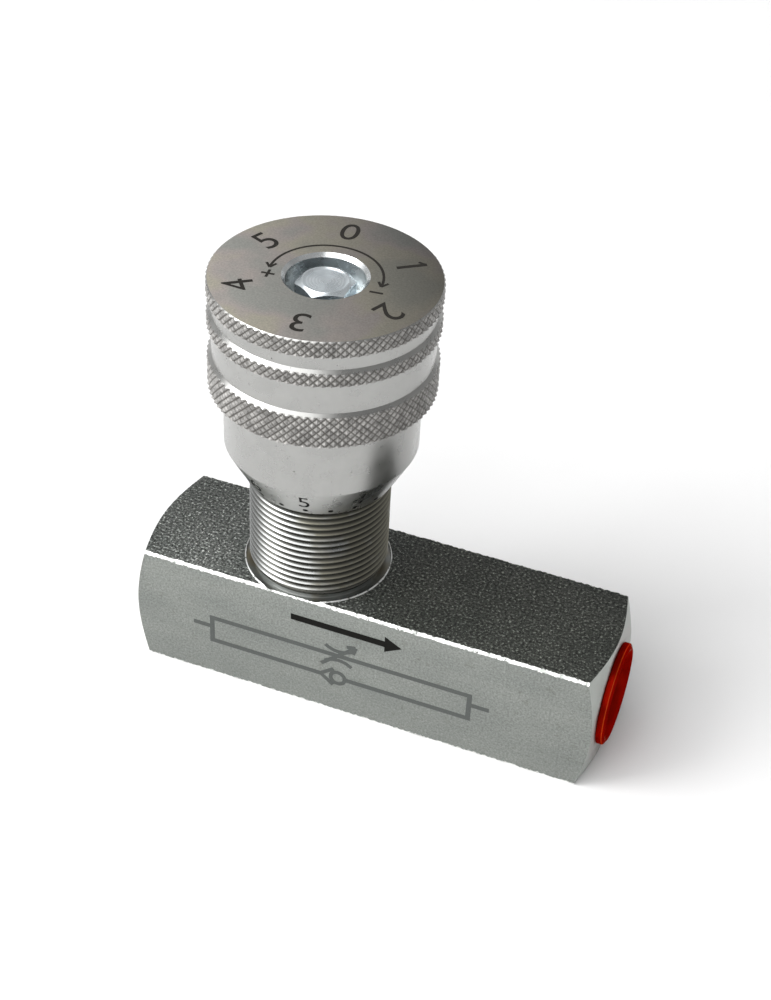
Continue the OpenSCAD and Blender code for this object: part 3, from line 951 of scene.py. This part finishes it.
def on_cone(degrees, height):
    """Wraps flat shapes round the scale cone, upright."""
    lean = math.atan((SKIRT_R - CONE_R) / CONE_H)

    def place(x, y):
        z = height + y * math.cos(lean)
        radius = CONE_R + z * math.tan(lean)
        outward = bearing(degrees + math.degrees(x / radius))
        normal = outward * math.cos(lean) - Vector((0, 0, math.sin(lean)))
        return outward * radius + Vector((0, 0, KNOB_Z + z)), normal

    return place


def on_front(height):
    """Places flat shapes on the front face of the bar, at a height above its underside."""
    return lambda x, y: (Vector((x, -BAR_W / 2, height + y)), Vector((0, -1, 0)))


def arrow_head(tip, heading, size, width):
    """Two barbs that meet at tip, pointing along heading in degrees."""
    spread = 32
    ends = arc_line(tip, size, heading + 180 - spread, heading + 180 + spread, 1)
    return [flat_stroke([end, tip], width) for end in ends]


def dial_marks():
    """Digits 0 to 5 and the double-ended plus and minus arrow on the top face."""
    parts = []
    for digit in range(DIAL_DIGITS):
        place = on_dial(DIAL_ZERO - digit * 360 / DIAL_DIGITS, DIAL_R)
        parts.append(mark_solid(flat_digit(digit, DIAL_DIGIT_H), place))
    line, barb = 0.36, 1.25
    arc = arc_line((0, 0), ARROW_R, 90 + ARROW_HALF_SPAN, 90 - ARROW_HALF_SPAN, 60)
    flats = [flat_stroke(arc, line)]
    for side, tip in ((-1, arc[0]), (1, arc[-1])):
        flats += arrow_head(tip, 270 - side * (ARROW_HALF_SPAN - 90), barb, line)
    sign_x, sign_y, half = 7.25, -1.9, 0.9
    for x in (sign_x, -sign_x):
        flats.append(flat_stroke([(x - half, sign_y), (x + half, sign_y)], line))
    flats.append(flat_stroke([(-sign_x, sign_y - half), (-sign_x, sign_y + half)], line))
    parts.append(mark_solid(flats, on_dial(DIAL_ZERO, 0)))
    return make_marks("dial_marks", "mark", "adjuster", "black_steel", *parts)


def scale_marks():
    """Digits 0 to 9 round the cone with a dot under each and between."""
    parts = []
    step = 360 / SCALE_DIGITS
    digit_z, dot_z, dot_r, dot_sides = 3.2, 0.9, 0.36, 20
    dot = (arc_line((0, 0), dot_r, 0, 360, dot_sides)[:-1], [tuple(range(dot_sides))])
    for digit in range(SCALE_DIGITS):
        angle = SCALE_FIVE + (5 - digit) * step
        parts.append(mark_solid(flat_digit(digit, SCALE_DIGIT_H, 0.86), on_cone(angle, digit_z)))
        parts += [mark_solid([dot], on_cone(angle + between, dot_z)) for between in (0, step / 2)]
    return make_marks("scale_marks", "black_mark", "adjuster", "black_steel", *parts)


def symbol_strokes():
    """Drawing-office symbol of a throttle with a check valve beside it, as (points, width)."""
    left, right, upper, lower = -12.5, 27.5, 1.7, -2.7
    middle = (left + right) / 2
    line, thin = 0.75, 0.6
    lead, gap = 3, 2.7
    ball_r, bow_r, throat = 1.1, 3.2, 0.85
    first, last = left - line / 2, right + line / 2
    strokes = [([(left - lead, 0), (left, 0)], line), ([(right, 0), (right + lead, 0)], line)]
    strokes += [([(x, upper), (x, lower)], line) for x in (left, right)]
    strokes += [([(first, upper), (last, upper)], line),
                ([(first, lower), (middle - gap, lower)], line),
                ([(middle + 1.2, lower), (last, lower)], line)]
    for side in (-1, 1):
        facing = -90 * side
        centre = (middle, upper + side * (bow_r + throat))
        strokes.append((arc_line(centre, bow_r, facing - 40 * side, facing + 40 * side, 10), thin))
        strokes.append(([(middle - gap, lower), (middle - gap + 2, lower + side * 1.6)], thin))
    strokes.append((arc_line((middle, lower), ball_r, 0, 360, 20), thin))
    strokes.append(([(middle - 2.6, upper - 2.3), (middle + 2.4, upper + 2.3)], thin))
    return strokes, (middle + 2.6, upper + 2.5)


def flow_symbol():
    """Throttle and check symbol, in the grey of a light laser mark."""
    strokes, tip = symbol_strokes()
    flats = [flat_stroke(points, width) for points, width in strokes] + arrow_head(tip, 43, 1.4, 0.6)
    solid = mark_solid(flats, on_front(SYMBOL_Z))
    return make_marks("flow_symbol", "faint", "housing", "body_steel", solid)


def flow_arrow():
    """Black arrow for the direction of free flow."""
    tail, tip, half, barb = ARROW_X - 8.5, ARROW_X + 8.5, 0.55, 0.9
    neck = tip - 2.6
    outline = [(tail, -half), (tail, half), (neck, half), (neck, half + barb), (tip, 0),
               (neck, -half - barb), (neck, -half)]
    solid = mark_solid([(outline, [tuple(range(len(outline)))])], on_front(ARROW_Z))
    return make_marks("flow_arrow", "black_mark", "housing", "black_steel", solid)


# ---- fasteners and cap

def hexagon_head(seat, top):
    """Hexagon head with blunt corners and a crown that has turning rings in its top."""
    corner_r = HEAD_FLATS / math.cos(math.radians(30)) / 2
    blunt = 1.6
    corners = [HEAD_TURN + 60 * corner for corner in range(6)]
    angles = [math.radians(corner + side) for corner in corners for side in (-blunt, blunt)]
    verts = [to_z(corner_r, angle, z) for z in (seat, top) for angle in angles]
    head = make_object("hexagon", *swept(verts, len(angles)))
    crown, edge, below = 3.3, 0.12, seat - 1
    profile = [(0, below), (crown + (top - below) / math.tan(math.radians(30)), below),
               (crown, top - edge), (crown - edge, top), (crown - 0.32, top)]
    rings, ring_w = 6, 0.42
    for ring in range(rings):
        ring_r = crown - 0.5 - ring * ring_w
        profile += [(ring_r, top - 0.15), (ring_r - ring_w / 2, top - 0.22)]
    profile.append((0, top - 0.18))
    return boolean(head, turned("crown", profile), "INTERSECT")


def make_bolt():
    """M4 hexagon bolt with a turned, chamfered head."""
    seat, tip = bolt_high.z - HEAD_H, bolt_low.z
    bolt = hexagon_head(seat, bolt_high.z)
    major_r, pitch = 1.98, 0.7
    minor_r, start, stop = major_r - 0.43, tip + 0.3, seat - 0.4
    thread = thread_wall(minor_r, major_r, pitch, start, stop, 48)
    neck = revolve([(minor_r, stop), (minor_r, seat + 0.5), (0, seat + 0.5)], 48)
    point = revolve([(0, tip), (major_r - 0.7, tip), (minor_r, start)], 48)
    boolean(bolt, make_object("shank", *joined(thread, neck, point)), "UNION")
    bolt.name = bolt.data.name = "hexagon_bolt"
    shade(bolt, 30)
    return finish_piece(bolt, ["fastener"], "adjuster", "fastener_steel", "knob_bolt")


def make_plain_washer():
    """Punched washer with one rounded and one sharp side."""
    outer, inner = (plain_high.x - plain_low.x) / 2, 2.15
    low, high = plain_low.z, plain_high.z
    burr, soft, round_r = 0.1, 0.08, 0.25
    profile = [(inner, low), (outer, low), (outer, high - round_r), (outer - soft, high - soft),
               (outer - round_r, high), (inner + burr, high), (inner, high - burr)]
    washer = turned("flat_washer", profile, closed=True)
    return finish_piece(washer, ["fastener"], "adjuster", "fastener_steel", "plain_washer")


def make_spring_washer():
    """Split washer whose ends stand slightly apart in height."""
    outer, inner = (split_high.x - split_low.x) / 2, 2.05
    rise, corner = 0.12, 0.1
    thick = split_high.z - split_low.z - rise
    section = [(inner, corner), (inner + corner, 0), (outer - corner, 0), (outer, corner),
               (outer, thick - corner), (outer - corner, thick), (inner + corner, thick),
               (inner, thick - corner)]
    split_at, gap, slant = -35, 5, 7
    steps = 72
    verts = []
    for step in range(steps + 1):
        share = step / steps
        angle = math.radians(split_at + gap + (360 - 2 * gap) * share)
        for radius, z in section:
            lean = math.radians(slant) * (z / thick - 0.5)
            verts.append(to_z(radius, angle + lean, split_low.z + rise * share + z))
    washer = make_object("split_washer", *swept(verts, len(section)))
    return finish_piece(washer, ["fastener"], "adjuster", "fastener_steel", "spring_washer")


def make_cap():
    """Red push-in cap: rounded flange, dished mouth, tapered ribbed tube and closed inner end."""
    flange_r = (cap_high.z - cap_low.z) / 2
    face, seat, inner_end = cap_high.x, RIGHT_X, cap_low.x
    tube_r = PORT_MINOR_R - 0.05
    wall, edge, rib_h = 0.8, 0.12, 0.18
    hollow_r, hollow_end = tube_r - wall, inner_end + wall
    profile = [(0, inner_end)] + arc_line((tube_r - 0.5, inner_end + 0.5), 0.5, -90, 0, 5)
    for rib in range(3):
        middle = inner_end + 1.9 + rib * 1.7
        profile += [(tube_r - rib_h, middle - 0.4), (tube_r, middle - 0.1), (tube_r, middle + 0.1),
                    (tube_r - rib_h, middle + 0.4)]
    rim_w, rim_x, dish_depth, dish_from = 0.6, face - 0.38, 1.9, flange_r - 0.7
    profile += [(tube_r - 0.1, seat), (flange_r - edge, seat), (flange_r, seat + edge),
                (flange_r, rim_x), (flange_r - edge, rim_x + edge), (flange_r - rim_w, face)]
    dish_steps = 8
    for step in range(dish_steps + 1):
        share = step / dish_steps
        profile.append((dish_from + (hollow_r - dish_from) * share, face - dish_depth * share ** 1.7))
    profile.append((hollow_r - 0.1, hollow_end + 0.6))
    profile += arc_line((hollow_r - 0.7, hollow_end + 0.6), 0.6, 0, -90, 5)
    profile.append((0, hollow_end))
    cap = turned("red_port_cap", profile, 96, to_x)
    # The rim chamfer at the front takes the lighter red, a painted highlight.
    for polygon in cap.data.polygons:
        centre = polygon.center / MM
        at_rim = math.hypot(centre.y, centre.z - PORT_Z) > flange_r - edge
        polygon.material_index = int(at_rim and centre.x > rim_x)
    return finish_piece(cap, ["red", "red_painted_highlight"], "protector", "red_plastic", "port_cap")


def make_spring():
    """Round-wire compression spring with closed ends."""
    wire_r, coils, per_coil, sides = 0.4, 7, 40, 12
    coil_r = (spring_high.z - spring_low.z) / 2 - wire_r
    first, last = spring_low.x + wire_r, spring_high.x - wire_r
    closed_share = 1 / coils
    count = coils * per_coil
    verts = []
    for step in range(count + 1):
        share = step / count
        run = min(max((share - closed_share / 2) / (1 - closed_share), 0), 1)
        x = first + (last - first) * run
        for side in range(sides):
            turn = step_angle(side, sides)
            radius = coil_r + wire_r * math.cos(turn)
            verts.append(to_x(radius, 2 * math.pi * coils * share, x + wire_r * math.sin(turn)))
    spring = make_object("coil_spring", *swept(verts, sides))
    finish_piece(spring, ["spring"], "housing", "spring_steel", "check_spring")
    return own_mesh(spring)


CAD_FINISH = {
    "throttle_needle": "hardened", "spindle": "hardened", "needle_pins": "hardened",
    "seal_washer": "fastener", "spindle_o_ring": "rubber", "backup_ring": "white",
    "gland_bush": "brass", "gland_o_ring": "rubber", "grub_screw": "black", "lock_pad": "white",
    "check_poppet": "hardened", "spring_seat": "hardened", "check_circlip": "black",
}


def paint_cad_nodes():
    """Gives the CAD pieces that stay their real finishes."""
    for node, name in CAD_FINISH.items():
        for material_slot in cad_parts[node].material_slots:
            material_slot.link = "OBJECT"
            material_slot.material = MATERIALS[name]


# ---- studio

def make_floor():
    """Plain pale floor."""
    far = 3000
    verts = [(-far, -far, 0), (far, -far, 0), (far, far, 0), (-far, far, 0)]
    floor = make_object("floor", verts, [(0, 1, 2, 3)])
    n = Nodes("pale_floor")
    n.feed(n.shader, {"Base Color": n.ramp(n.noise(0.01), (0.3, 0.86), (0.7, 0.9)), "Roughness": 0.9})
    floor.data.materials.append(n.owner)


def make_key_light():
    """Square soft light from the front left, aimed at the turret."""
    data = bpy.data.lights.new("key", "AREA")
    data.size = 200 * MM
    data.energy = 1.1
    light = bpy.data.objects.new("key", data)
    place, aim = Vector((-300, -200, 360)), Vector((0, 0, 30))
    light.location = place * MM
    light.rotation_euler = (aim - place).normalized().to_track_quat("-Z", "Y").to_euler()
    bpy.context.scene.collection.objects.link(light)


def make_world():
    """Studio walls: a wide softbox at the front left, darker to the right, pale from the horizon down."""
    n = Nodes("studio", "worlds", "Background", "Generated")

    def glow(toward, from_dot, to_dot, low, high):
        dot = n.along(Vector(toward).normalized())
        return n.range(dot, low, high, from_dot, to_dot, "SMOOTHSTEP")

    walls = glow((-0.94, 0.2, 0.1), -0.7, 0.7, 0.36, 0.52)
    softbox = glow((-0.45, -0.62, 0.64), 0.70, 0.84, 0, 2.2)
    ground = glow((0, 0, -1), -0.2, -0.05, 0, 0.8)
    n.feed(n.shader, {"Color": n.math("MAXIMUM", n.math("ADD", walls, softbox), ground)})
    bpy.context.scene.world = n.owner


def make_camera():
    """Camera from the front right and above, with a slight roll."""
    azimuth, elevation, roll = (math.radians(a) for a in (19.468, 38.808, 3.134))
    target = Matrix.Translation(Vector((9.831, 0, 33.316)) * MM)
    distance = Matrix.Translation((0, 0, 251.55 * MM))
    turn = Matrix.Rotation(azimuth, 4, "Z") @ Matrix.Rotation(math.pi / 2 - elevation, 4, "X")
    data = bpy.data.cameras.new("camera")
    data.lens = 64.92
    data.sensor_width = 36
    data.clip_start = 0.01
    camera = bpy.data.objects.new("camera", data)
    camera.matrix_world = target @ turn @ Matrix.Rotation(roll, 4, "Z") @ distance
    bpy.context.scene.collection.objects.link(camera)
    bpy.context.scene.camera = camera


bpy.context.scene.view_settings.view_transform = "Standard"
make_camera()
make_world()
make_floor()
make_key_light()

make_body()
make_knob()
dial_marks()
scale_marks()
flow_symbol()
flow_arrow()
make_bolt()
make_plain_washer()
make_spring_washer()
make_cap()
make_spring()
paint_cad_nodes()
